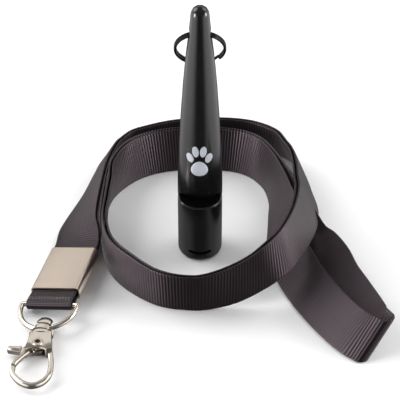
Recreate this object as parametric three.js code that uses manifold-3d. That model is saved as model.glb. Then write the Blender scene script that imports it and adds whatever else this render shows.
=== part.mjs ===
// Dog-training whistle that stands on its mouthpiece inside its coiled neck lanyard.
// Millimetres, +Z up, whistle axis on Z, table at Z = 0.
import * as THREE from 'three';
import Module from 'manifold-3d';
import { mergeVertices } from 'three/addons/utils/BufferGeometryUtils.js';

const wasm = await Module();
wasm.setup();

// ---------------------------------------------------------------- driving sizes
const strapWidth = 15;
const strapThickness = 0.7;

const mouthRadius = 7.25;
const chamberRadius = 5.6;
const plugGap = 0.3;
const ledgeHeight = 21.6;
const lipFront = -1;
const lipHeight = 23.2;
const lipFlat = 0.25;
const lipRampTop = 27.6;
const windwayWidth = 6.8;
const windwayDepth = 2.3;
const ringHoleHeight = 82;
const ringHoleRadius = 1.75;

const splitRingRadius = 7.6;
const splitRingWire = 0.9;
const splitRingTilt = 24;

const crimpLength = 20.9;
const crimpOuterWidth = 16.2;
const crimpOuterHeight = 4.3;
const crimpWall = 0.5;
const crimpSeam = 1.2;
const layerPitch = 1;

const dRingWire = 1.6;
const bowRadius = 9.3;
const bowCentre = 1.1;
const dRingDistance = 16.1;
const dRingDip = 6.2;
const dRingRoll = -9.3;
const wrapRadius = 1.32;

const hookHeight = 2.45;
const plateHalfThickness = 2;
const slotHalfHeight = 1.3;
const hookRingWidth = 1.6;
const hookRingThickness = 1.9;
const pivot = [-0.3, -5.6];
const pivotHoleRadius = 1.5;
const rivetRadius = 1.2;
const rivetBore = 0.85;
const rivetHeadRadius = 1.75;
const eyeHalfWidth = 3.45;
const eyeHalfHeight = 2.35;
const eyeBand = 0.8;
const eyeReach = 7.2;
const eyeLean = -6;
const eyeDomeStart = 3.3;
const slotHalfOpening = 1.75;
const slotStart = 1.35;
const stemRadius = 0.6;
const stemHeadRadius = 1.05;

const radians = THREE.MathUtils.degToRad;

// ---------------------------------------------------------------- materials
function makeMaterial(color, roughness, metalness) {
  return new THREE.MeshStandardMaterial({ color, roughness, metalness });
}

const blackSatin = makeMaterial(0x141416, 0.5, 0);
const blackGloss = makeMaterial(0x101012, 0.25, 0);
const blackEnamel = makeMaterial(0x0e0e10, 0.25, 0.3);
const charcoalWebbing = makeMaterial(0x2e2c2f, 0.9, 0);
const satinNickel = makeMaterial(0xb9b2a6, 0.35, 1);
const polishedNickel = makeMaterial(0xc9c6c0, 0.18, 1);
const springSteel = makeMaterial(0x9a9a9c, 0.3, 1);

// ---------------------------------------------------------------- solid helpers
function toSolid(geometry) {
  const plain = geometry.clone();
  plain.deleteAttribute('normal');
  plain.deleteAttribute('uv');
  const welded = mergeVertices(plain, 1e-4);
  const corners = welded.index.array;
  const kept = [];
  for (let i = 0; i < corners.length; i += 3) {
    const [a, b, c] = [corners[i], corners[i + 1], corners[i + 2]];
    if (a !== b && b !== c && c !== a) kept.push(a, b, c);
  }
  return new wasm.Manifold(new wasm.Mesh({
    numProp: 3,
    vertProperties: new Float32Array(welded.attributes.position.array),
    triVerts: new Uint32Array(kept),
  }));
}

function toGeometry(solid) {
  const mesh = solid.getMesh();
  const geometry = new THREE.BufferGeometry();
  geometry.setAttribute('position', new THREE.BufferAttribute(mesh.vertProperties, 3));
  geometry.setIndex(new THREE.BufferAttribute(mesh.triVerts, 1));
  geometry.computeVertexNormals();
  return geometry;
}

function join(...geometries) {
  return toGeometry(geometries.map(toSolid).reduce((whole, next) => whole.add(next)));
}

function cut(geometry, ...tools) {
  return toGeometry(tools.map(toSolid).reduce((rest, tool) => rest.subtract(tool), toSolid(geometry)));
}

function overlap(first, second) {
  return toGeometry(toSolid(first).intersect(toSolid(second)));
}

// A solid of revolution about Z from [radius, height] points that rise from axis to axis.
function turned(profile, segments = 48) {
  const points = profile.map(([radius, height]) => new THREE.Vector2(radius, height));
  return new THREE.LatheGeometry(points, segments).rotateX(Math.PI / 2);
}

function cylinderZ(radius, low, high, x = 0, y = 0, segments = 32) {
  return new THREE.CylinderGeometry(radius, radius, high - low, segments)
    .rotateX(Math.PI / 2)
    .translate(x, y, (low + high) / 2);
}

function cylinderX(radius, length, y, z, segments = 28) {
  return new THREE.CylinderGeometry(radius, radius, length, segments)
    .rotateZ(Math.PI / 2)
    .translate(0, y, z);
}

function cylinderY(radius, low, high, segments = 24) {
  return new THREE.CylinderGeometry(radius, radius, high - low, segments)
    .translate(0, (low + high) / 2, 0);
}

function block(x0, x1, y0, y1, z0, z1) {
  return new THREE.BoxGeometry(x1 - x0, y1 - y0, z1 - z0)
    .translate((x0 + x1) / 2, (y0 + y1) / 2, (z0 + z1) / 2);
}

function polygon(points) {
  return new THREE.Shape(points.map(([x, y]) => new THREE.Vector2(x, y)));
}

// An outline drawn in YZ and extruded along X, centred on X = 0.
function extrudeAlongX(outline, width) {
  return new THREE.ExtrudeGeometry(outline, { depth: width, bevelEnabled: false, curveSegments: 12 })
    .translate(0, 0, -width / 2)
    .rotateY(Math.PI / 2)
    .rotateX(Math.PI / 2);
}

// An outline drawn in XY and extruded along Z between two heights, with softened edges.
function plate(outline, low, high, edge = 0, curveSegments = 8) {
  return new THREE.ExtrudeGeometry(outline, {
    depth: high - low - 2 * edge,
    bevelEnabled: edge > 0,
    bevelSize: edge,
    bevelOffset: -edge,
    bevelThickness: edge,
    bevelSegments: 2,
    curveSegments,
  }).translate(0, 0, low + edge);
}

function circleShape(radius, segments) {
  const points = [];
  for (let i = 0; i < segments; i += 1) {
    const angle = (2 * Math.PI * i) / segments;
    points.push([radius * Math.cos(angle), radius * Math.sin(angle)]);
  }
  return polygon(points);
}

function roundedBar(width, height, round) {
  const points = [];
  for (const [sideX, sideY, start] of [[1, 1, 0], [-1, 1, 90], [-1, -1, 180], [1, -1, 270]]) {
    for (let angle = start; angle <= start + 90; angle += 45) {
      points.push([
        sideX * (width / 2 - round) + round * Math.cos(radians(angle)),
        sideY * (height / 2 - round) + round * Math.sin(radians(angle)),
      ]);
    }
  }
  return polygon(points);
}

// A path whose section is held by given directions: the section's x runs along each
// station's face direction and its y along the station's width direction.
class FramedPath extends THREE.Curve {
  constructor(stations) {
    super();
    this.stations = stations;
  }

  getPoint(t) {
    const last = this.stations.length - 1;
    return this.stations[Math.round(t * last)].centre.clone();
  }

  getSpacedPoints() {
    return this.stations.map((station) => station.centre.clone());
  }

  computeFrenetFrames() {
    return {
      tangents: this.stations.map((s) => new THREE.Vector3().crossVectors(s.face, s.width)),
      normals: this.stations.map((s) => s.face),
      binormals: this.stations.map((s) => s.width),
    };
  }
}

function sweep(section, stations) {
  return new THREE.ExtrudeGeometry(section, {
    steps: stations.length - 1,
    extrudePath: new FramedPath(stations),
  });
}

// Stations along a smooth level curve through [x, y] points.
function flatStations(points, steps) {
  const curve = new THREE.CatmullRomCurve3(points.map(([x, y]) => new THREE.Vector3(x, y, 0)));
  const stations = [];
  for (let i = 0; i <= steps; i += 1) {
    const width = new THREE.Vector3(0, 0, 1);
    const face = new THREE.Vector3().crossVectors(width, curve.getTangentAt(i / steps));
    stations.push({ centre: curve.getPointAt(i / steps), face, width });
  }
  return stations;
}

// ---------------------------------------------------------------- whistle body and plug
// The body is moulded in one piece; its core is drawn out downwards and the plug closes the end.
const bodyProfile = [
  [0, 0], [6.1, 0], [6.55, 0.12], [6.92, 0.45], [7.15, 0.95], [mouthRadius, 1.7],
  [mouthRadius, 27], [7.15, 32], [6.92, 37.5], [6.62, 43.5], [6.32, 49], [6.02, 54.5],
  [5.67, 59.4], [5.28, 65], [4.9, 69.3], [4.4, 74.6], [3.95, 78.6], [3.55, 81.8],
  [3.3, 84.2], [3.12, 86], [3, 87.4], [2.9, 88.6], [2.68, 89.7], [2.2, 90.6], [1.5, 91.2],
  [0.75, 91.5], [0, 91.6],
];
const airColumn = turned([
  [0, 25], [chamberRadius, 25], [chamberRadius, 27], [4.6, 34], [3.9, 50], [2.2, 70], [1.2, 72], [0, 72.4],
], 32);

// The windway slants from the bottom up to the ledge; its rear face is the plug's flat.
const windwayFloorBack = -3.2;
const windwayExitBack = 0.3;
const windwayLean = (windwayExitBack - windwayFloorBack) / ledgeHeight;

function windwaySlab(frontShift, backShift) {
  const reach = 3;
  const backAt = (z) => windwayFloorBack + windwayLean * z;
  return polygon([
    [backAt(-reach) + frontShift, -reach],
    [backAt(-reach) + backShift, -reach],
    [backAt(ledgeHeight + 1) + backShift, ledgeHeight + 1],
    [backAt(ledgeHeight + 1) + frontShift, ledgeHeight + 1],
  ]);
}

const windowCut = extrudeAlongX(polygon([
  [-9, ledgeHeight], [1, ledgeHeight], [1, lipHeight], [lipFront, lipHeight],
  [lipFront, lipHeight + lipFlat], [-mouthRadius, lipRampTop], [-9, lipRampTop + 1.2],
]), 20);
const chamferLow = ledgeHeight - 0.45;
const ledgeChamfer = overlap(
  turned([
    [mouthRadius, chamferLow], [7.6, chamferLow], [7.6, ledgeHeight + 0.2],
    [6.7, ledgeHeight + 0.2], [6.84, ledgeHeight], [mouthRadius, chamferLow],
  ]),
  block(-9, 9, -9, 0.9, ledgeHeight - 1, ledgeHeight + 1),
);
const soundChamber = overlap(
  cylinderZ(chamberRadius, ledgeHeight - 0.5, 25.5, 0, 0, 40),
  block(-8, 8, lipFront, 8, ledgeHeight - 0.5, 25.5),
);
const plugSeat = overlap(
  cylinderZ(chamberRadius, -1, ledgeHeight + 0.5, 0, 0, 40),
  extrudeAlongX(windwaySlab(0, 14), 20),
);
const windway = extrudeAlongX(windwaySlab(-windwayDepth, 1), windwayWidth);
// A shallow elliptical bite pocket that follows the round of the mouthpiece.
const bitePocket = overlap(
  turned([[6.6, 2], [7.8, 2], [7.8, 5], [6.6, 5], [6.6, 2]], 64),
  new THREE.CylinderGeometry(1, 1, 9, 40).scale(3.9, 1, 0.9).translate(0, -4.5, 3.5),
);

const whistleBody = new THREE.Mesh(
  cut(
    turned(bodyProfile, 64), airColumn, windowCut, ledgeChamfer, soundChamber, plugSeat, windway,
    bitePocket, cylinderX(ringHoleRadius, 20, 0, ringHoleHeight),
  ),
  blackGloss,
);
whistleBody.name = 'whistle_body';

const fipplePlug = new THREE.Mesh(
  overlap(
    cylinderZ(chamberRadius - plugGap, 0, ledgeHeight, 0, 0, 40),
    extrudeAlongX(windwaySlab(plugGap, 14), 20),
  ),
  blackSatin,
);
fipplePlug.name = 'fipple_plug';

// ---------------------------------------------------------------- split ring
// Two turns side by side with one crossing step; it hangs behind the whistle from the cross hole.
const ringHang = splitRingRadius - 0.45;
const ringGroup = new THREE.Group();
ringGroup.position.set(0, 0, ringHoleHeight);
ringGroup.rotation.x = radians(splitRingTilt);

function splitRingStations() {
  const stations = [];
  const stepEnd = 14;
  for (let angle = stepEnd + 8; angle <= 698; angle += 7) {
    const nearStep = Math.min(Math.max((angle - 360 + stepEnd) / (2 * stepEnd), 0), 1);
    const side = THREE.MathUtils.smoothstep(nearStep, 0, 1) - 0.5;
    const turn = radians(angle - 60);
    const outward = new THREE.Vector3(Math.cos(turn), 0, Math.sin(turn));
    stations.push({
      centre: outward.clone().multiplyScalar(splitRingRadius).add(new THREE.Vector3(0, side, -ringHang)),
      face: outward,
      width: new THREE.Vector3(0, 1, 0),
    });
  }
  return stations;
}

const whistleSplitRing = new THREE.Mesh(
  sweep(circleShape(splitRingWire / 2, 10), splitRingStations()),
  blackEnamel,
);
whistleSplitRing.name = 'whistle_split_ring';
ringGroup.add(whistleSplitRing);

// ---------------------------------------------------------------- crimp, at the strap's joined ends
// In the crimp's own frame X runs across the strap, -Y points to the D-ring and Z is the thickness.
const crimpGroup = new THREE.Group();
crimpGroup.position.set(-43.5, -17.6, 3.6);
crimpGroup.rotation.set(0, radians(-10), radians(-13.3), 'ZYX');
crimpGroup.updateMatrix();

function crimpSection() {
  const x = crimpOuterWidth / 2;
  const z = crimpOuterHeight / 2;
  const inner = crimpWall;
  const seam = crimpSeam / 2;
  const round = 1.2;
  const points = [[seam, -z]];
  for (const [sideX, sideZ, start] of [[1, -1, 270], [1, 1, 0], [-1, 1, 90], [-1, -1, 180]]) {
    for (let angle = start; angle <= start + 90; angle += 30) {
      points.push([
        sideX * (x - round) + round * Math.cos(radians(angle)),
        sideZ * (z - round) + round * Math.sin(radians(angle)),
      ]);
    }
  }
  points.push(
    [-seam, -z], [-seam, -z + inner], [-x + inner, -z + inner], [-x + inner, z - inner],
    [x - inner, z - inner], [x - inner, -z + inner], [seam, -z + inner],
  );
  return polygon(points);
}

const strapCrimp = new THREE.Mesh(
  new THREE.ExtrudeGeometry(crimpSection(), { depth: crimpLength, bevelEnabled: false })
    .translate(0, 0, -crimpLength / 2)
    .rotateX(Math.PI / 2),
  satinNickel,
);
strapCrimp.name = 'strap_crimp';
crimpGroup.add(strapCrimp);

// ---------------------------------------------------------------- strap
// Stations of the doubled strap from the crimp to its fold: bottom edge x, y, z, lean of the
// face in degrees (positive leans to the inside of the coil), gap between the two plies, and
// how many degrees the plies splay apart.
const strapRoute = [
  [-46.2, 9, 0.6, 57, 1.7, 0], [-40.4, 28, 0, 33, 1.25, 0], [-37.1, 41, 0, 29, 1.25, 0],
  [-34.5, 49.4, 0, 32, 1.25, 0], [-28.8, 54.4, 0, 29, 1.2, 0], [-20.2, 56.2, 0, 21, 1.2, 0],
  [-6.3, 57, 0, 10, 1.2, 0], [9.7, 57.7, 0, 10, 1.2, 0], [21.7, 56.5, 0, 15, 1.2, 0],
  [31.4, 52, 0, 22, 1.2, 0], [35.6, 44.8, 0, 24, 1.2, 0], [37.4, 37, 0.5, 22, 1.2, 0],
  [38.5, 27, 2, 24, 1.2, 0], [39.3, 17.5, 4, 28, 1.25, 0], [39.2, 9, 6, 28, 1.25, 0],
  [37.3, -3, 8.5, 26, 1.25, 0], [33.2, -14, 9.5, 20, 1.2, 0], [28, -23.5, 9.5, 16, 1.2, 0],
  [20.5, -29, 7, 10, 1.2, 0], [10.5, -30.8, 2.2, 2, 1.2, 0], [-1.3, -31.4, 0, -7, 1.2, 0],
  [-12.3, -29.4, 0, -5, 1.2, 0], [-22.1, -22.4, 0, 0, 1.2, 0], [-28.6, -13.4, 0, -1, 1.25, 0],
  [-31.6, -2, 0, 1, 1.3, 0], [-32.8, 10, 0, 7, 1.3, 0], [-32.7, 20.3, 0, 9, 1.3, 0],
  [-29.4, 30.2, 0, -2, 1.3, 0], [-20.6, 39.8, 0, -18, 1.3, 0], [-8.3, 44.3, 0, -24, 1.25, 0],
  [7.7, 44.3, 0, -24, 1.25, 0], [16.7, 41.2, 0, -20, 1.25, 0], [22.7, 33.5, 0, -13, 1.2, 0],
  [24.9, 24.4, 0, -18, 1.6, 2], [24.7, 16, 0, -34, 2.2, 6], [24.8, 8, 0, -48, 3.6, 12],
  [25.6, 0, 0, -60, 6.5, 16], [27.9, -8, 0, -60, 10.2, 6], [30.8, -17, 0, -57, 11.8, -2],
  [34.1, -26.7, 0, -51, 11, -2], [38.1, -35.7, 0, -48, 10, 0], [42, -43.6, 0, -46, 8.5, 0],
  [45.5, -49.8, 0, -45, 6.5, 0], [48.6, -53.6, 0, -44, 4.8, 0],
];
const stepsPerStation = 2;
const crimpLean = 80;

function crimpPoint(across, along, up) {
  return new THREE.Vector3(across, along, up).applyMatrix4(crimpGroup.matrix);
}

function insideCrimp(along) {
  const edge = crimpPoint(-strapWidth / 2 - 0.05, along, layerPitch / 2);
  return [edge.x, edge.y, edge.z, crimpLean, layerPitch, 0];
}

const fullRoute = [insideCrimp(-9.5), insideCrimp(1.5), insideCrimp(12.5), ...strapRoute];
const edgeCurve = new THREE.CatmullRomCurve3(
  fullRoute.map(([x, y, z]) => new THREE.Vector3(x, y, z)), false, 'catmullrom', 0.5,
);
const leanCurve = new THREE.CatmullRomCurve3(
  fullRoute.map(([, , , lean, gap, splay]) => new THREE.Vector3(lean, gap, splay)), false, 'catmullrom', 0.5,
);

// One station of one ply; side is +1 for the ply on the inside of the coil and -1 for the other.
function plyStation(t, side) {
  const edge = edgeCurve.getPoint(t);
  edge.setZ(Math.max(edge.z, 0));
  const ahead = edgeCurve.getPoint(Math.min(t + 0.002, 1));
  const behind = edgeCurve.getPoint(Math.max(t - 0.002, 0));
  const travel = ahead.sub(behind).setZ(0).normalize();
  const inward = new THREE.Vector3(travel.y, -travel.x, 0);
  const shape = leanCurve.getPoint(t);
  const middleLean = radians(shape.x);
  const lean = middleLean + (side * radians(shape.z)) / 2;
  const width = inward.clone().multiplyScalar(Math.sin(lean)).setZ(Math.cos(lean));
  // Standing plies part level; plies that lie nearly flat part along their own face direction.
  const flatness = THREE.MathUtils.clamp((shape.x - 60) / 20, 0, 1);
  const faceWay = inward.clone().multiplyScalar(Math.cos(middleLean)).setZ(-Math.sin(middleLean));
  const parting = inward.clone().lerp(faceWay, flatness).multiplyScalar((side * shape.y) / 2);
  const lift = (strapThickness / 2) * Math.abs(Math.sin(lean)) + 0.05;
  return {
    centre: edge.add(parting)
      .addScaledVector(width, strapWidth / 2)
      .add(new THREE.Vector3(0, 0, lift * (1 - flatness))),
    width,
    face: new THREE.Vector3().crossVectors(width, travel),
    travel,
  };
}

function reversed(station) {
  return { ...station, face: station.face.clone().negate() };
}

// The half turn at the free end, from the inside ply to the outside ply.
function foldStations(from, to, count) {
  const middle = from.centre.clone().lerp(to.centre, 0.5);
  const arm = from.centre.clone().sub(middle);
  const stations = [];
  for (let i = 1; i < count; i += 1) {
    const angle = (Math.PI * i) / count;
    const centre = middle.clone()
      .addScaledVector(arm, Math.cos(angle))
      .addScaledVector(from.travel, arm.length() * Math.sin(angle));
    const width = from.width.clone().lerp(to.width, i / count).normalize();
    const heading = arm.clone().normalize().multiplyScalar(-Math.sin(angle))
      .addScaledVector(from.travel, Math.cos(angle));
    stations.push({ centre, width, face: new THREE.Vector3().crossVectors(width, heading).normalize() });
  }
  return stations;
}

// The outside ply leaves the crimp, goes round the D-ring's bar and comes back into the crimp.
function wrapStations() {
  const across = new THREE.Vector3(1, 0, 0).transformDirection(crimpGroup.matrix);
  const up = new THREE.Vector3(0, 0, 1).transformDirection(crimpGroup.matrix);
  const toRing = new THREE.Vector3(0, -1, 0).transformDirection(crimpGroup.matrix);
  const barY = -dRingDistance;
  const outline = [[-11, 1, 90], [-12.6, 1.15, 90], [-14.2, 1.28, 90]];
  for (let angle = 90; angle >= -90; angle -= 22.5) {
    outline.push([
      barY - wrapRadius * Math.cos(radians(angle)),
      wrapRadius * Math.sin(radians(angle)),
      angle,
    ]);
  }
  outline.push([-14.2, -1.28, -90], [-12.6, -1.15, -90], [-11, -1, -90], [9.2, -1, -90]);
  return outline.map(([along, height, angle]) => ({
    centre: crimpPoint(0, along, height),
    width: across,
    face: up.clone().multiplyScalar(Math.sin(radians(angle)))
      .addScaledVector(toRing, Math.cos(radians(angle))),
  }));
}

function strapStations() {
  const count = (fullRoute.length - 1) * stepsPerStation;
  const inside = [];
  const outside = [];
  for (let i = 0; i <= count; i += 1) {
    inside.push(plyStation(i / count, 1));
    outside.push(plyStation(i / count, -1));
  }
  const fold = foldStations(inside[count], outside[count], 8);
  return [...inside, ...fold, ...outside.reverse().map(reversed), ...wrapStations()];
}

const lanyardStrap = new THREE.Mesh(
  sweep(
    polygon([
      [-strapThickness / 2, -strapWidth / 2], [strapThickness / 2, -strapWidth / 2],
      [strapThickness / 2, strapWidth / 2], [-strapThickness / 2, strapWidth / 2],
    ]),
    strapStations(),
  ),
  charcoalWebbing,
);
lanyardStrap.name = 'lanyard_strap';

// ---------------------------------------------------------------- D-ring
// In the D-ring's frame the bar lies on X and the bow reaches out along -Y.
const dRingGroup = new THREE.Group();
dRingGroup.position.copy(crimpPoint(0, -dRingDistance, 0));
dRingGroup.rotation.set(radians(dRingDip), radians(dRingRoll), radians(-13.3), 'ZYX');

const barHalfLength = Math.sqrt(bowRadius ** 2 - bowCentre ** 2);
const bowStart = THREE.MathUtils.radToDeg(Math.asin(bowCentre / bowRadius));

function bowStations() {
  const stations = [];
  const steps = 28;
  for (let i = 0; i <= steps; i += 1) {
    const turn = radians(THREE.MathUtils.lerp(-bowStart, 180 + bowStart, i / steps));
    const outward = new THREE.Vector3(Math.cos(turn), -Math.sin(turn), 0);
    stations.push({
      centre: outward.clone().multiplyScalar(bowRadius).add(new THREE.Vector3(0, -bowCentre, 0)),
      face: outward,
      width: new THREE.Vector3(0, 0, 1),
    });
  }
  return stations;
}

const barBall = new THREE.SphereGeometry(dRingWire / 2, 16, 10);
const dRing = new THREE.Mesh(
  join(
    cylinderX(dRingWire / 2, 2 * barHalfLength, 0, 0, 16),
    barBall.clone().translate(barHalfLength, 0, 0),
    barBall.clone().translate(-barHalfLength, 0, 0),
    sweep(circleShape(dRingWire / 2, 14), bowStations()),
  ),
  polishedNickel,
);
dRing.name = 'd_ring';
dRingGroup.add(dRing);

// ---------------------------------------------------------------- hook and swivel
// In the hook's frame the origin is the end of the swivel's loop, +Y points to the D-ring
// and Z = 0 is the hook's middle plane.
const hookGroup = new THREE.Group();
hookGroup.position.set(-48.8, -45.9, hookHeight);
hookGroup.rotation.z = radians(-2.7);

// The swivel's loop: a flange, a waist and a flattened dome, with a slot for the D-ring's bow.
function ellipticCylinder(halfWidth, halfHeight, low, high) {
  return new THREE.CylinderGeometry(1, 1, high - low, 36)
    .scale(halfWidth, 1, halfHeight)
    .translate(0, (low + high) / 2, 0);
}

function eyeLoop() {
  const dome = new THREE.SphereGeometry(1, 36, 22)
    .scale(eyeHalfWidth, eyeReach - eyeDomeStart, eyeHalfHeight)
    .translate(0, eyeDomeStart, 0);
  const slotEnd = eyeReach - eyeBand;
  const slotRound = 1.3;
  const slot = new THREE.Shape();
  slot.moveTo(slotStart, -slotHalfOpening);
  slot.lineTo(slotEnd - slotRound, -slotHalfOpening);
  slot.absarc(slotEnd - slotRound, slotRound - slotHalfOpening, slotRound, -Math.PI / 2, 0, false);
  slot.absarc(slotEnd - slotRound, slotHalfOpening - slotRound, slotRound, 0, Math.PI / 2, false);
  slot.lineTo(slotStart, slotHalfOpening);
  return cut(
    join(
      overlap(dome, block(-5, 5, eyeDomeStart - 0.2, 9, -4, 4)),
      ellipticCylinder(eyeHalfWidth - 0.3, eyeHalfHeight - 0.3, 1.8, eyeDomeStart),
      ellipticCylinder(eyeHalfWidth, eyeHalfHeight, 0.7, 2.3),
    ),
    extrudeAlongX(slot, 10),
  );
}

const swivelEye = new THREE.Mesh(
  join(
    eyeLoop(),
    cylinderY(stemRadius, -2.1, 0.9),
    cylinderY(stemHeadRadius, -2.1, -1.4),
  ),
  polishedNickel,
);
swivelEye.name = 'swivel_eye';
swivelEye.rotation.z = radians(eyeLean);

const plateOutline = new THREE.Shape();
plateOutline.moveTo(-3.25, -0.6);
plateOutline.lineTo(-2.4, 0.25);
plateOutline.lineTo(2.4, 0.25);
plateOutline.lineTo(3.25, -0.6);
plateOutline.lineTo(3.7, -4);
plateOutline.lineTo(4.4, -8);
plateOutline.lineTo(2.6, -8.4);
plateOutline.quadraticCurveTo(-0.4, -6.6, -4.1, -8.8);
plateOutline.lineTo(-3.5, -4.5);

const hookCurve = [
  [-6.65, -15.15], [-6.4, -17.2], [-5.2, -19.3], [-2.9, -21.4], [0.1, -22.4], [2.8, -21.1],
  [4.5, -18.4], [4.8, -15], [4.35, -11], [3.5, -7.4], [2.9, -5.5],
];

const gateSlot = block(-8, 2.2, -12, -1, -slotHalfHeight, slotHalfHeight);
const hookBody = new THREE.Mesh(
  cut(
    join(
      plate(plateOutline, -plateHalfThickness, plateHalfThickness, 0.35),
      sweep(roundedBar(hookRingWidth, hookRingThickness, 0.6), flatStations(hookCurve, 40)),
      ellipticCylinder(3.75, 2.25, -0.85, 0.25),
    ),
    gateSlot,
    cylinderZ(pivotHoleRadius, -3, 3, ...pivot),
    cylinderY(stemRadius + 0.25, -1.5, 1),
  ),
  polishedNickel,
);
hookBody.name = 'hook_body';

// The gate's hub and thumb tab are thin enough for the slot; its finger is thicker below the plate.
const hubLow = -1.05;
const hubHigh = 0;
const gateArm = polygon([
  [-1.4, -3.9], [-5.2, -6], [-8.8, -6.2], [-9.4, -6.7], [-9.6, -7.2], [-9.2, -7.9],
  [-5.6, -8.6], [-4.9, -9.2], [-3.4, -9.6], [-2.2, -8.4], [0.9, -7.2],
]);
const gateFingerCurve = [[-3, -8], [-4, -9.2], [-5.3, -11.2], [-6.3, -13.2], [-6.55, -14.2]];
const gateTab = polygon([
  [-5.2, -6], [-8.8, -6.2], [-9.4, -6.7], [-9.6, -7.2], [-9.2, -7.9], [-5.4, -8.6],
]);
const gateLever = new THREE.Mesh(
  cut(
    join(
      cylinderZ(2.1, hubLow, hubHigh, ...pivot),
      plate(gateArm, hubLow, hubHigh),
      sweep(roundedBar(1.4, 1.8, 0.5), flatStations(gateFingerCurve, 14)),
      plate(gateTab, hubLow, 0.75, 0.3),
    ),
    cylinderZ(pivotHoleRadius, -3, 3, ...pivot),
  ),
  polishedNickel,
);
gateLever.name = 'gate_lever';

const rivetHeadLow = plateHalfThickness + 0.1;
const rivetHeadHigh = hookHeight - 0.02;
const leverRivet = new THREE.Mesh(
  turned([
    [rivetBore, -rivetHeadHigh], [rivetHeadRadius - 0.15, -rivetHeadHigh],
    [rivetHeadRadius, -rivetHeadLow], [rivetRadius, -rivetHeadLow],
    [rivetRadius, rivetHeadLow], [rivetHeadRadius, rivetHeadLow],
    [rivetHeadRadius - 0.15, rivetHeadHigh], [rivetBore, rivetHeadHigh],
    [rivetBore, -rivetHeadHigh],
  ], 28),
  satinNickel,
);
leverRivet.name = 'lever_rivet';
leverRivet.position.set(...pivot, 0);

// A light torsion coil on the rivet above the hub, with a leg along the lever and one to the plate.
function springStations() {
  const coilRadius = 1.75;
  const low = 0.3;
  const high = 1.02;
  const turns = 1.75;
  const points = [new THREE.Vector3(-4.3, -0.7, low), new THREE.Vector3(-2.8, 0, low)];
  const count = 28;
  for (let i = 0; i <= count; i += 1) {
    const angle = radians(150) + (2 * Math.PI * turns * i) / count;
    const height = THREE.MathUtils.lerp(low, high, i / count);
    points.push(new THREE.Vector3(coilRadius * Math.cos(angle), coilRadius * Math.sin(angle), height));
  }
  const curve = new THREE.CatmullRomCurve3(points);
  const stations = [];
  const steps = 64;
  for (let i = 0; i <= steps; i += 1) {
    const heading = curve.getTangentAt(i / steps);
    const face = new THREE.Vector3(heading.y, -heading.x, 0).normalize();
    stations.push({
      centre: curve.getPointAt(i / steps),
      face,
      width: new THREE.Vector3().crossVectors(heading, face),
    });
  }
  return stations;
}

const leverSpring = new THREE.Mesh(sweep(circleShape(0.15, 8), springStations()), springSteel);
leverSpring.name = 'lever_spring';
leverSpring.position.set(...pivot, 0);

hookGroup.add(swivelEye, hookBody, gateLever, leverRivet, leverSpring);

// ---------------------------------------------------------------- assembly
const whistle = new THREE.Group();
whistle.add(whistleBody, fipplePlug, ringGroup);

const lanyard = new THREE.Group();
lanyard.add(lanyardStrap, crimpGroup, dRingGroup, hookGroup);

const assembly = new THREE.Group();
assembly.add(whistle, lanyard);

export default assembly;
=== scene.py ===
"""Black dog-training whistle standing inside its coiled neck lanyard. Metres, +Z up."""
import math

import bpy
from mathutils import Matrix, Vector


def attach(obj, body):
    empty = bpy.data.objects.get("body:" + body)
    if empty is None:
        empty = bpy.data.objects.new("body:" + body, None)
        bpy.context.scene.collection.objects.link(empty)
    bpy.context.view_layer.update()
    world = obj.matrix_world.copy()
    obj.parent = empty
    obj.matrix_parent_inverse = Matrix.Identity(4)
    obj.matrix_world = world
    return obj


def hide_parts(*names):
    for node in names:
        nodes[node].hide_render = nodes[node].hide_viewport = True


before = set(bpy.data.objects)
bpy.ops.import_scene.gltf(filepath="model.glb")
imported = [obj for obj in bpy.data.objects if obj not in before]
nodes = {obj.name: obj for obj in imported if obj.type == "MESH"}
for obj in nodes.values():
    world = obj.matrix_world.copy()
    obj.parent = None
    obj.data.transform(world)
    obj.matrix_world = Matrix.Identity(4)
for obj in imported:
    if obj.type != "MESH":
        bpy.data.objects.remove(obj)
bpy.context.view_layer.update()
scene = bpy.context.scene
MM = 0.001


# ------------------------------------------------------------------ camera
CAMERA_TARGET = Vector((0, -0.007, 0.025))
CAMERA_DISTANCE = 0.45
CAMERA_ELEVATION = math.radians(37)
CAMERA_LENS = 126.4


def add_camera():
    data = bpy.data.cameras.new("camera")
    data.sensor_width = 36
    data.lens = CAMERA_LENS
    data.clip_start = 0.01
    camera = bpy.data.objects.new("camera", data)
    scene.collection.objects.link(camera)
    away = Vector((0, -math.cos(CAMERA_ELEVATION), math.sin(CAMERA_ELEVATION)))
    camera.location = CAMERA_TARGET + away * CAMERA_DISTANCE
    camera.rotation_euler = (-away).to_track_quat("-Z", "Y").to_euler()
    scene.camera = camera


add_camera()


# ------------------------------------------------------------------ strap route
STRAP_WIDTH = 0.015
STRAP_THICKNESS = 0.0007
# Kept free under the strap, and beside it in the crimp.
STRAP_CLEARANCE = 0.05 * MM
# From ply to ply inside the crimp.
LAYER_PITCH = 0.001

CRIMP_CENTRE = Vector((-0.0435, -0.0176, 0.0036))
CRIMP_HEADING = math.radians(-13.3)
CRIMP_TILT = math.radians(-10)
CRIMP_TURN = Matrix.Rotation(CRIMP_HEADING, 3, "Z") @ Matrix.Rotation(CRIMP_TILT, 3, "Y")
# Distance from the crimp's middle to the D-ring's bar, and the strap's radius round that bar.
BAR_DISTANCE = 0.0161
WRAP_RADIUS = 0.00132

# Degrees of lean: in the crimp, and where the strap starts to count as lying flat.
CRIMP_LEAN = 80
FLAT_FROM = 60

# How finely the strap is drawn: the share of the route over which its direction is taken, the
# stations for each of the route's points, and the degrees at the free fold and round the bar.
DIRECTION_STEP = 0.002
STEPS_PER_POINT = 20
FOLD_STEP = 6
WRAP_STEP = 10

# The webbing has a rib every RIB_PITCH.
RIB_PITCH = 1.0 * MM
STATIONS_PER_RIB = 4
STATION_STEP = RIB_PITCH / STATIONS_PER_RIB

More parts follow.
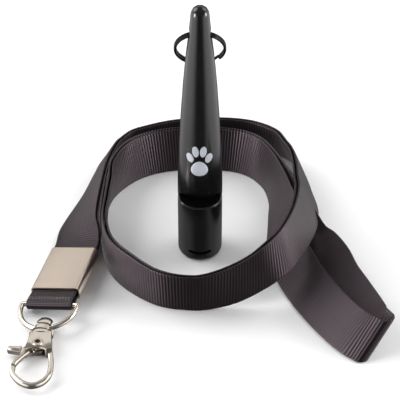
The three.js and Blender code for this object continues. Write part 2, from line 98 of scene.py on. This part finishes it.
# Bottom edge x, y, z of the doubled strap from the crimp to its free fold, the lean of its face in
# degrees (positive leans to the inside of the coil), the gap between its two plies, and the
# degrees that they splay apart.
STRAP_ROUTE = [
    (-0.0462, 0.009, 0.0006, 57, 0.0017, 0), (-0.0404, 0.028, 0, 33, 0.00125, 0),
    (-0.0371, 0.041, 0, 29, 0.00125, 0), (-0.0345, 0.0494, 0, 32, 0.00125, 0),
    (-0.0288, 0.0544, 0, 29, 0.0012, 0), (-0.0202, 0.0562, 0, 21, 0.0012, 0),
    (-0.0063, 0.057, 0, 10, 0.0012, 0), (0.0097, 0.0577, 0, 10, 0.0012, 0),
    (0.0217, 0.0565, 0, 15, 0.0012, 0), (0.0314, 0.052, 0, 22, 0.0012, 0),
    (0.0356, 0.0448, 0, 24, 0.0012, 0), (0.0374, 0.037, 0.0005, 22, 0.0012, 0),
    (0.0385, 0.027, 0.002, 24, 0.0012, 0), (0.0393, 0.0175, 0.004, 28, 0.00125, 0),
    (0.0392, 0.009, 0.006, 28, 0.00125, 0), (0.0373, -0.003, 0.0085, 26, 0.00125, 0),
    (0.0332, -0.014, 0.0095, 20, 0.0012, 0), (0.028, -0.0235, 0.0095, 16, 0.0012, 0),
    (0.0205, -0.029, 0.007, 10, 0.0012, 0), (0.0105, -0.0308, 0.0022, 2, 0.0012, 0),
    (-0.0013, -0.0314, 0, -7, 0.0012, 0), (-0.0123, -0.0294, 0, -5, 0.0012, 0),
    (-0.0221, -0.0224, 0, 0, 0.0012, 0), (-0.0286, -0.0134, 0, -1, 0.00125, 0),
    (-0.0316, -0.002, 0, 1, 0.0013, 0), (-0.0328, 0.01, 0, 7, 0.0013, 0),
    (-0.0327, 0.0203, 0, 9, 0.0013, 0), (-0.0294, 0.0302, 0, -2, 0.0013, 0),
    (-0.0206, 0.0398, 0, -18, 0.0013, 0), (-0.0083, 0.0443, 0, -24, 0.00125, 0),
    (0.0077, 0.0443, 0, -24, 0.00125, 0), (0.0167, 0.0412, 0, -20, 0.00125, 0),
    (0.0227, 0.0335, 0, -13, 0.0012, 0), (0.0249, 0.0244, 0, -18, 0.0016, 2),
    (0.0247, 0.016, 0, -34, 0.0022, 6), (0.0248, 0.008, 0, -48, 0.0036, 12),
    (0.0256, 0, 0, -60, 0.0065, 16), (0.0279, -0.008, 0, -60, 0.0102, 6),
    (0.0308, -0.017, 0, -57, 0.0118, -2), (0.0341, -0.0267, 0, -51, 0.011, -2),
    (0.0381, -0.0357, 0, -48, 0.01, 0), (0.042, -0.0436, 0, -46, 0.0085, 0),
    (0.0455, -0.0498, 0, -45, 0.0065, 0), (0.0486, -0.0536, 0, -44, 0.0048, 0),
]


def crimp_point(across, along, up):
    """A place in the crimp's own directions; along runs from the D-ring towards the coil."""
    return CRIMP_CENTRE + CRIMP_TURN @ Vector((across, along, up))


def inside_crimp(along):
    """A point of the route in the crimp, where the strap lies flat."""
    edge = crimp_point(-STRAP_WIDTH / 2 - STRAP_CLEARANCE, along, LAYER_PITCH / 2)
    return (*edge, CRIMP_LEAN, LAYER_PITCH, 0)


FULL_ROUTE = [inside_crimp(-0.0095), inside_crimp(0.0015), inside_crimp(0.0125), *STRAP_ROUTE]


def smooth_between(p, q, r, s, f):
    """The Catmull-Rom value a share f of the way from q to r, with p before them and s after."""
    square = 2 * p - 5 * q + 4 * r - s
    cube = 3 * q - p - 3 * r + s
    return 0.5 * (2 * q + (r - p) * f + square * f * f + cube * f ** 3)


def route_at(t):
    """The six columns of the route at t, from 0 at the crimp to 1 at the fold."""
    last = len(FULL_ROUTE) - 1
    index = min(int(t * last), last - 1)
    f = t * last - index
    b, c = FULL_ROUTE[index], FULL_ROUTE[index + 1]
    a = FULL_ROUTE[index - 1] if index > 0 else [2 * p - q for p, q in zip(b, c)]
    d = FULL_ROUTE[index + 2] if index + 2 <= last else [2 * q - p for p, q in zip(b, c)]
    return [smooth_between(p, q, r, s, f) for p, q, r, s in zip(a, b, c, d)]


def ply_station(t, side):
    """(centre, width direction, travel direction) of the inside ply (+1) or the outside ply (-1)."""
    x, y, z, middle_lean, gap, splay = route_at(t)
    ahead = route_at(min(t + DIRECTION_STEP, 1))
    behind = route_at(max(t - DIRECTION_STEP, 0))
    travel = Vector((ahead[0] - behind[0], ahead[1] - behind[1], 0)).normalized()
    inward = Vector((travel.y, -travel.x, 0))
    lean = math.radians(middle_lean + side * splay / 2)
    width = inward * math.sin(lean) + Vector((0, 0, math.cos(lean)))
    flatness = min(max((middle_lean - FLAT_FROM) / (CRIMP_LEAN - FLAT_FROM), 0), 1)
    middle = math.radians(middle_lean)
    face_way = inward * math.cos(middle) - Vector((0, 0, math.sin(middle)))
    parting = inward.lerp(face_way, flatness) * (side * gap / 2)
    lift = STRAP_THICKNESS / 2 * abs(math.sin(lean)) + STRAP_CLEARANCE
    centre = Vector((x, y, max(z, 0))) + parting + width * (STRAP_WIDTH / 2)
    centre.z += lift * (1 - flatness)
    return centre, width, travel


def evenly(stations, spacing):
    """The same run of (centre, width) stations at equal steps along its middle line, and its length."""
    lengths = [0.0]
    for (a, _), (b, _) in zip(stations, stations[1:]):
        lengths.append(lengths[-1] + (b - a).length)
    count = max(2, round(lengths[-1] / spacing))
    even = []
    index = 0
    for k in range(count + 1):
        want = lengths[-1] * k / count
        while index < len(lengths) - 2 and lengths[index + 1] < want:
            index += 1
        f = (want - lengths[index]) / (lengths[index + 1] - lengths[index])
        (c0, w0), (c1, w1) = stations[index], stations[index + 1]
        even.append((c0.lerp(c1, f), w0.lerp(w1, f).normalized()))
    return even, lengths[-1]


def fold_half(from_station, to_station, start, end):
    """Stations of the half turn at the free fold between two of its angles, in degrees."""
    (c0, w0, travel), (c1, w1, _) = from_station, to_station
    middle = (c0 + c1) / 2
    arm = c0 - middle
    stations = []
    for angle in range(start, end + 1, FOLD_STEP):
        turn = math.radians(angle)
        centre = middle + arm * math.cos(turn) + travel * (arm.length * math.sin(turn))
        stations.append((centre, w0.lerp(w1, angle / 180).normalized()))
    return stations


def wrap_stations():
    """The outside ply's way out of the crimp, round the D-ring's bar and back into the crimp."""
    across = CRIMP_TURN @ Vector((1, 0, 0))
    way_out = [(-0.011, 0.001), (-0.0126, 0.00115), (-0.0142, 0.00128)]
    turn = []
    for angle in range(90, -91, -WRAP_STEP):
        turn.append((
            -BAR_DISTANCE - WRAP_RADIUS * math.cos(math.radians(angle)),
            WRAP_RADIUS * math.sin(math.radians(angle)),
        ))
    way_back = [(along, -up) for along, up in reversed(way_out)]
    end = (0.0092, -0.001)
    outline = [*way_out, *turn, *way_back, end]
    return [(crimp_point(0, along, up), across) for along, up in outline]


def ply_stations():
    """The stations of the inside ply, and of the outside ply from the fold to its end in the crimp."""
    steps = (len(FULL_ROUTE) - 1) * STEPS_PER_POINT
    inside = [ply_station(k / steps, 1) for k in range(steps + 1)]
    outside = [ply_station(k / steps, -1) for k in range(steps + 1)]
    first_half = fold_half(inside[-1], outside[-1], FOLD_STEP, 90)
    second_half = fold_half(inside[-1], outside[-1], 90, 180 - FOLD_STEP)
    inner = [s[:2] for s in inside] + first_half
    outer = second_half + [s[:2] for s in reversed(outside)] + wrap_stations()
    return inner, outer


# ------------------------------------------------------------------ materials
def node_material(name, color, roughness, metallic=0.0):
    material = bpy.data.materials.new(name)
    material.use_nodes = True
    tree = material.node_tree
    shader = tree.nodes["Principled BSDF"]
    shader.inputs["Base Color"].default_value = (*color, 1)
    shader.inputs["Roughness"].default_value = roughness
    shader.inputs["Metallic"].default_value = metallic
    return material, tree, shader


def add_node(tree, kind, **values):
    """A new node, with each value given to the input or the setting of that name."""
    node = tree.nodes.new(kind)
    for key, value in values.items():
        if key in node.inputs:
            node.inputs[key].default_value = value
        else:
            setattr(node, key, value)
    return node


def math_node(tree, operation, *operands):
    """The output of a maths node; each operand is a number or another node's output."""
    node = add_node(tree, "ShaderNodeMath", operation=operation)
    for socket, value in zip(node.inputs, operands):
        if isinstance(value, (int, float)):
            socket.default_value = value
        else:
            tree.links.new(value, socket)
    return node.outputs[0]


def noise_of(tree, scale, detail=3.0, stretch=(1, 1, 1)):
    """Noise over the object's own coordinates, in metres, with its features stretched."""
    coordinates = tree.nodes.new("ShaderNodeTexCoord")
    mapping = add_node(tree, "ShaderNodeMapping", Scale=stretch)
    tree.links.new(coordinates.outputs["Object"], mapping.inputs["Vector"])
    noise = add_node(tree, "ShaderNodeTexNoise", Scale=scale, Detail=detail)
    tree.links.new(mapping.outputs["Vector"], noise.inputs["Vector"])
    return noise.outputs["Fac"]


def remap(tree, value, low, high):
    """Maps the value's 0 to low and its 1 to high, and holds it at those ends."""
    node = add_node(tree, "ShaderNodeMapRange")
    node.inputs["To Min"].default_value = low
    node.inputs["To Max"].default_value = high
    tree.links.new(value, node.inputs["Value"])
    return node.outputs["Result"]


def add_bump(tree, shader, height, strength, distance):
    bump = add_node(tree, "ShaderNodeBump", Strength=strength, Distance=distance)
    tree.links.new(height, bump.inputs["Height"])
    tree.links.new(bump.outputs["Normal"], shader.inputs["Normal"])


def color_between(tree, shader, value, dark, light):
    ramp = tree.nodes.new("ShaderNodeValToRGB")
    ramp.color_ramp.elements[0].color = (*dark, 1)
    ramp.color_ramp.elements[1].color = (*light, 1)
    tree.links.new(value, ramp.inputs["Fac"])
    tree.links.new(ramp.outputs["Color"], shader.inputs["Base Color"])


def add_mottle(tree, shader, color, roughness, scale, tones, spread):
    """Patches that take the colour between two tones of it and the roughness a little down and up."""
    mottle = noise_of(tree, scale, detail=4)
    down, up = spread
    tree.links.new(remap(tree, mottle, roughness - down, roughness + up), shader.inputs["Roughness"])
    dark, light = [[c * valley_shade_and_wear for c in color] for valley_shade_and_wear in tones]
    color_between(tree, shader, mottle, dark, light)


def plastic_material(name, color, roughness, texture, gloss):
    """Plastic, thread or paint: texture is the strength of its fine bumps."""
    material, tree, shader = node_material(name, color, roughness)
    add_mottle(tree, shader, color, roughness, scale=260, tones=(0.8, 1.25), spread=(0.05, 0.06))
    add_bump(tree, shader, noise_of(tree, 5200, detail=2), texture, 0.03 * MM)
    shader.inputs["Specular IOR Level"].default_value = gloss
    return material


def metal_material(name, color, roughness, texture, grain_scale=700, grain_stretch=(1, 1, 1)):
    """Plated metal: texture is the strength of its grain, which a stretch makes a brushed one."""
    material, tree, shader = node_material(name, color, roughness, metallic=1.0)
    add_mottle(tree, shader, color, roughness, scale=330, tones=(0.93, 1.05), spread=(0.04, 0.07))
    grain = noise_of(tree, grain_scale, detail=2, stretch=grain_stretch)
    add_bump(tree, shader, grain, texture, 0.04 * MM)
    return material


WEBBING_DARK = (0.0012, 0.0009, 0.0011)
WEBBING_LIGHT = (0.0125, 0.0096, 0.0112)
WEBBING_ROUGHNESS = 0.42
THREADS_ACROSS = 44
# Shares of the ribs and of the threads in the weave, whose valleys the colour darkens as painted shade,
# and of uneven wear in the colour.
RIB_SHARE = 0.7
THREAD_SHARE = 0.3
WEAR_SHARE = 0.35
WEAVE_DEPTH = 0.12 * MM


def webbing_material():
    """Grosgrain: the UVs run in ribs along the strap and from 0 to 1 across it."""
    material, tree, shader = node_material("webbing", WEBBING_DARK, WEBBING_ROUGHNESS)
    uv = tree.nodes.new("ShaderNodeUVMap")
    split = tree.nodes.new("ShaderNodeSeparateXYZ")
    tree.links.new(uv.outputs["UV"], split.inputs["Vector"])
    along, across = split.outputs["X"], split.outputs["Y"]
    rib = math_node(tree, "SINE", math_node(tree, "MULTIPLY", along, 2 * math.pi))
    thread = math_node(tree, "SINE", math_node(tree, "MULTIPLY", across, 2 * math.pi * THREADS_ACROSS))
    rib_part = math_node(tree, "MULTIPLY", rib, RIB_SHARE)
    thread_part = math_node(tree, "MULTIPLY", thread, THREAD_SHARE)
    weave = math_node(tree, "ADD", rib_part, thread_part)
    wear = math_node(tree, "MULTIPLY", noise_of(tree, 420, detail=5), WEAR_SHARE)
    # Painted shade: the colour is darker in the valleys of the ribs and threads and lighter on their
    # crests, with uneven wear on top.
    valley_shade_and_wear = math_node(tree, "ADD", remap(tree, weave, low=-0.3, high=0.75), wear)
    color_between(tree, shader, valley_shade_and_wear, WEBBING_DARK, WEBBING_LIGHT)
    add_bump(tree, shader, weave, strength=0.5, distance=WEAVE_DEPTH)
    # The yarns lie along the strap, so a highlight spreads across it.
    direction = add_node(tree, "ShaderNodeTangent", direction_type="UV_MAP")
    tree.links.new(direction.outputs["Tangent"], shader.inputs["Tangent"])
    shader.inputs["Anisotropic"].default_value = 0.85
    shader.inputs["Anisotropic Rotation"].default_value = 0.25
    shader.inputs["Specular IOR Level"].default_value = 0.6
    shader.inputs["Specular Tint"].default_value = (1.0, 0.79, 0.89, 1)
    shader.inputs["Sheen Weight"].default_value = 0.01
    shader.inputs["Sheen Roughness"].default_value = 0.4
    shader.inputs["Sheen Tint"].default_value = (0.75, 0.68, 0.74, 1)
    return material


WHISTLE_PLASTIC = plastic_material(
    "whistle_plastic", (0.003, 0.003, 0.0034), roughness=0.2, texture=0.03, gloss=0.55,
)
PLUG_PLASTIC = plastic_material(
    "plug_plastic", (0.006, 0.006, 0.0065), roughness=0.32, texture=0.06, gloss=0.4,
)
THREAD = plastic_material("thread", (0.075, 0.07, 0.075), roughness=0.5, texture=0.6, gloss=0.5)
PAW_PAINT = plastic_material("mark_paint", (0.42, 0.44, 0.48), roughness=0.5, texture=0.3, gloss=0.4)
RING_ENAMEL = metal_material("ring_enamel", (0.02, 0.02, 0.022), roughness=0.22, texture=0.05)
BRIGHT_NICKEL = metal_material("bright_nickel", (0.60, 0.54, 0.47), roughness=0.15, texture=0.05)
SPRING_WIRE = metal_material("spring_wire", (0.5, 0.5, 0.5), roughness=0.25, texture=0.05)
SATIN_NICKEL = metal_material(
    "satin_nickel", (0.56, 0.475, 0.40), roughness=0.34, texture=0.25,
    grain_scale=4200, grain_stretch=(1, 0.04, 1),
)
WEBBING = webbing_material()

NODE_MATERIALS = {
    "whistle_body": WHISTLE_PLASTIC,
    "fipple_plug": PLUG_PLASTIC,
    "whistle_split_ring": RING_ENAMEL,
    "strap_crimp": SATIN_NICKEL,
    "d_ring": BRIGHT_NICKEL,
    "swivel_eye": BRIGHT_NICKEL,
    "hook_body": BRIGHT_NICKEL,
    "gate_lever": BRIGHT_NICKEL,
    "lever_rivet": SATIN_NICKEL,
    "lever_spring": SPRING_WIRE,
}


WELD_DISTANCE = 0.002 * MM
CRISP_ANGLE = math.radians(32)


def soften(piece, material):
    """Gives a CAD node its material, and smooth faces between crisp edges."""
    piece.data.materials.clear()
    piece.data.materials.append(material)
    weld = piece.modifiers.new("weld", "WELD")
    weld.merge_threshold = WELD_DISTANCE
    piece.data.shade_smooth()
    split = piece.modifiers.new("edges", "EDGE_SPLIT")
    split.split_angle = CRISP_ANGLE


for node_name, finish in NODE_MATERIALS.items():
    soften(nodes[node_name], finish)


# ------------------------------------------------------------------ strap pieces
def mesh_piece(name, vertices, faces, material, uvs=None):
    mesh = bpy.data.meshes.new(name)
    mesh.from_pydata([tuple(v) for v in vertices], [], faces)
    if uvs:
        layer = mesh.uv_layers.new(name="UVMap")
        for loop in mesh.loops:
            layer.data[loop.index].uv = uvs[loop.vertex_index]
    mesh.materials.append(material)
    mesh.shade_smooth()
    piece = bpy.data.objects.new(name, mesh)
    scene.collection.objects.link(piece)
    return piece


RIB_HEIGHT = 0.04 * MM
# From the strap's edge inwards, in millimetres: the distance from its middle line, half its
# thickness there, and how much of a rib's height shows. The edges are smooth selvedges.
SECTION = [
    (7.5, 0.18, 0), (7.38, 0.30, 0), (6.95, 0.32, 0),
    (6.7, 0.30, 0.6), (6.2, 0.30, 1), (2.5, 0.30, 1),
]


def ribbon(name, stations, rib_start):
    """A webbing strip with transverse ribs; rib_start keeps the ribs in step across two pieces."""
    half = [(-x, t, r) for x, t, r in SECTION] + [(x, t, r) for x, t, r in reversed(SECTION)]
    ring = [(x, t, r, 1) for x, t, r in half] + [(x, t, r, -1) for x, t, r in reversed(half)]
    vertices = []
    uvs = []
    last = len(stations) - 1
    for k, (centre, width) in enumerate(stations):
        before = stations[max(k - 1, 0)][0]
        after = stations[min(k + 1, last)][0]
        face = width.cross(after - before).normalized()
        ribs = (k + rib_start) / STATIONS_PER_RIB
        rib = RIB_HEIGHT * math.cos(2 * math.pi * ribs)
        for x, thick, share, side in ring:
            height = side * (thick * MM + rib * share * side)
            vertices.append(centre + width * (x * MM) + face * height)
            uvs.append((ribs, 0.5 + x * MM / STRAP_WIDTH))
    count = len(ring)
    faces = []
    for k in range(last):
        for j in range(count):
            a, b = k * count + j, k * count + (j + 1) % count
            faces.append((a, b, b + count, a + count))
    faces.append(tuple(reversed(range(count))))
    faces.append(tuple(range(last * count, (last + 1) * count)))
    return mesh_piece(name, vertices, faces, WEBBING, uvs)


def declare_ply(piece):
    """Attaches a ribbon to the lanyard's body and hides the CAD solid that it stands for."""
    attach(piece, "lanyard")
    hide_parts("lanyard_strap")


def add_strap():
    inner, outer = ply_stations()
    inner, inner_length = evenly(inner, STATION_STEP)
    outer, outer_length = evenly(outer, STATION_STEP)
    rib_at_fold = (len(inner) - 1) % STATIONS_PER_RIB
    declare_ply(ribbon("strap_inside_ply", inner, 0))
    declare_ply(ribbon("strap_outside_ply", outer, rib_at_fold))


add_strap()


# ------------------------------------------------------------------ printed mark
# This section is in millimetres. Height and radius of the whistle's outside where the mark is:
BODY_PROFILE = [(27, 7.25), (32, 7.15), (37.5, 6.92), (43.5, 6.62), (49, 6.32)]
PRINT_STAND_OFF = 0.05
PRINT_THICKNESS = 0.08
SPOT_RINGS = 5
SPOT_CORNERS = 32
# A plain paw's spots: middle u and z, half sizes, tilt in degrees and taper towards the top.
PAW_SPOTS = [
    (-0.2, 37.2, 2.7, 2.7, 0, 0.24),
    (-3.3, 40.9, 1.2, 1.7, 22, 0), (-1.45, 43.4, 1.05, 1.95, 6, 0),
    (1.05, 43.4, 1.05, 1.95, -6, 0), (2.9, 40.9, 1.2, 1.7, -22, 0),
]


def body_radius(z):
    """The radius of the whistle's outside at a height."""
    for (z0, r0), (z1, r1) in zip(BODY_PROFILE, BODY_PROFILE[1:]):
        if z <= z1:
            return r0 + (r1 - r0) * (z - z0) / (z1 - z0)
    return BODY_PROFILE[-1][1]


def on_front(u, z):
    """A point of the whistle's front, u millimetres round it from the middle and z above the table."""
    radius = body_radius(z) + PRINT_STAND_OFF
    turn = u / radius
    return Vector((radius * math.sin(turn), -radius * math.cos(turn), z)) * MM


def add_mark():
    """The print: a fan of faces round each spot's middle, then rings out to its edge."""
    rings, corners = SPOT_RINGS, SPOT_CORNERS
    vertices = []
    faces = []
    for u, z, half_u, half_z, tilt, taper in PAW_SPOTS:
        start = len(vertices)
        lean = math.radians(tilt)
        vertices.append(on_front(u, z))
        for ring in range(1, rings + 1):
            for corner in range(corners):
                turn = 2 * math.pi * corner / corners
                du = half_u * math.cos(turn) * (1 - taper * math.sin(turn)) * ring / rings
                dz = half_z * math.sin(turn) * ring / rings
                vertices.append(on_front(
                    u + du * math.cos(lean) - dz * math.sin(lean),
                    z + du * math.sin(lean) + dz * math.cos(lean),
                ))
        for corner in range(corners):
            after = (corner + 1) % corners
            faces.append((start, start + 1 + corner, start + 1 + after))
            for ring in range(rings - 1):
                low = start + 1 + ring * corners
                high = low + corners
                faces.append((low + corner, high + corner, high + after, low + after))
    mark = mesh_piece("front_mark", vertices, faces, PAW_PAINT)
    thickness = mark.modifiers.new("thickness", "SOLIDIFY")
    thickness.thickness = PRINT_THICKNESS * MM
    thickness.offset = -1
    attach(mark, "whistle")


add_mark()


# ------------------------------------------------------------------ stitches at the D-ring
# In millimetres. A row is its place along the crimp and its height, both from the crimp's middle.
STITCH_ROWS = [(-14.6, 1.65), (-15.35, 1.68)]
STITCH_COUNT = 14
STITCH_LENGTH = 0.85
STITCH_GAP = 0.15
STITCH_RADIUS = 0.21
STITCH_SIDES = 8
# Share of half the length from the stitch's middle, and share of its radius there.
STITCH_PROFILE = [(-1, 0.15), (-0.8, 0.75), (-0.3, 1), (0.3, 1), (0.8, 0.75), (1, 0.15)]


def add_stitches():
    """Two rows of thread across the strap, just before it turns round the D-ring's bar."""
    sides = STITCH_SIDES
    vertices = []
    faces = []
    for along, up in STITCH_ROWS:
        for k in range(STITCH_COUNT):
            middle = (k - (STITCH_COUNT - 1) / 2) * (STITCH_LENGTH + STITCH_GAP)
            start = len(vertices)
            for reach, share in STITCH_PROFILE:
                for side in range(sides):
                    turn = 2 * math.pi * side / sides
                    vertices.append(crimp_point(
                        (middle + reach * STITCH_LENGTH / 2) * MM,
                        (along + STITCH_RADIUS * share * math.cos(turn)) * MM,
                        (up + STITCH_RADIUS * share * math.sin(turn)) * MM,
                    ))
            top = start + (len(STITCH_PROFILE) - 1) * sides
            for low in range(start, top, sides):
                high = low + sides
                for side in range(sides):
                    after = (side + 1) % sides
                    faces.append((low + side, low + after, high + after, high + side))
            faces.append(tuple(reversed(range(start, start + sides))))
            faces.append(tuple(range(top, top + sides)))
    stitches = mesh_piece("ring_loop_stitches", vertices, faces, THREAD)
    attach(stitches, "lanyard")


add_stitches()


# ------------------------------------------------------------------ floor and light
FLOOR_REACH = 3
FLOOR_DARK = (0.93, 0.93, 0.935)
FLOOR_LIGHT = (0.95, 0.95, 0.955)

# Each softbox: name, position, the point it faces, width and height, and power in watts.
SOFTBOXES = [
    ("key_left", (-0.62, 0.28, 0.58), (0, 0, 0.02), (0.6, 0.6), 5.2),
    ("key_right", (0.56, 0.3, 0.6), (0, 0, 0.02), (0.6, 0.6), 3.0),
    ("left_front_box", (-0.64, -0.26, 0.15), (0, -0.02, 0.02), (0.22, 0.28), 4.2),
    ("right_front_box", (0.66, -0.12, 0.18), (0, -0.02, 0.02), (0.26, 0.3), 3.8),
    ("back_box", (-0.1, 0.85, 0.62), (0, 0, 0.02), (1.3, 0.5), 1.8),
]

# Brightness stops of the studio's surroundings: the room by how far a direction points up, and
# its side walls by how far it points sideways and by its height, from 0 for down to 1 for up.
ROOM_STOPS = [(0.05, 0.13), (0.85, 0.3)]
WALL_SIDE_STOPS = [(0.35, 0), (0.75, 1)]
WALL_HEIGHT_STOPS = [(0.2, 0.15), (0.28, 1), (0.5, 1), (0.65, 0)]
WALL_BRIGHTNESS = 1.7


def add_floor():
    material, tree, shader = node_material("floor", FLOOR_LIGHT, roughness=0.55)
    color_between(tree, shader, noise_of(tree, 6, detail=2), FLOOR_DARK, FLOOR_LIGHT)
    reach = FLOOR_REACH
    corners = [(-reach, -reach, 0), (reach, -reach, 0), (reach, reach, 0), (-reach, reach, 0)]
    floor = mesh_piece("floor", corners, [(0, 1, 2, 3)], material)
    # It lights the pieces but stays out of their reflections, which would turn the black ones grey.
    floor.visible_glossy = False


def add_softbox(name, position, target, size, power):
    data = bpy.data.lights.new(name, "AREA")
    data.shape = "RECTANGLE"
    data.size, data.size_y = size
    data.energy = power
    light = bpy.data.objects.new(name, data)
    light.location = position
    light.rotation_euler = (Vector(target) - Vector(position)).to_track_quat("-Z", "Y").to_euler()
    scene.collection.objects.link(light)


def ramp_of(tree, value, stops):
    """A grey ramp through two or more (position, brightness) stops."""
    ramp = tree.nodes.new("ShaderNodeValToRGB")
    elements = ramp.color_ramp.elements
    while len(elements) < len(stops):
        elements.new(0.5)
    for element, (position, grey) in zip(elements, stops):
        element.position = position
        element.color = (grey, grey, grey, 1)
    tree.links.new(value, ramp.inputs["Fac"])
    return ramp.outputs["Color"]


def add_world():
    """A dim room that brightens overhead, with pale walls low on the left and right."""
    world = bpy.data.worlds.new("studio")
    world.use_nodes = True
    tree = world.node_tree
    background = tree.nodes["Background"]
    direction = tree.nodes.new("ShaderNodeTexCoord")
    split = tree.nodes.new("ShaderNodeSeparateXYZ")
    tree.links.new(direction.outputs["Generated"], split.inputs["Vector"])
    room = ramp_of(tree, split.outputs["Z"], ROOM_STOPS)
    sideways = math_node(tree, "ABSOLUTE", split.outputs["X"])
    beside = ramp_of(tree, sideways, WALL_SIDE_STOPS)
    height = math_node(tree, "MULTIPLY_ADD", split.outputs["Z"], 0.5, 0.5)
    low = ramp_of(tree, height, WALL_HEIGHT_STOPS)
    walls = math_node(tree, "MULTIPLY", math_node(tree, "MULTIPLY", beside, low), WALL_BRIGHTNESS)
    tree.links.new(math_node(tree, "ADD", room, walls), background.inputs["Color"])
    background.inputs["Strength"].default_value = 1.0
    scene.world = world


add_floor()
add_world()
for softbox in SOFTBOXES:
    add_softbox(*softbox)
scene.view_settings.view_transform = "Standard"
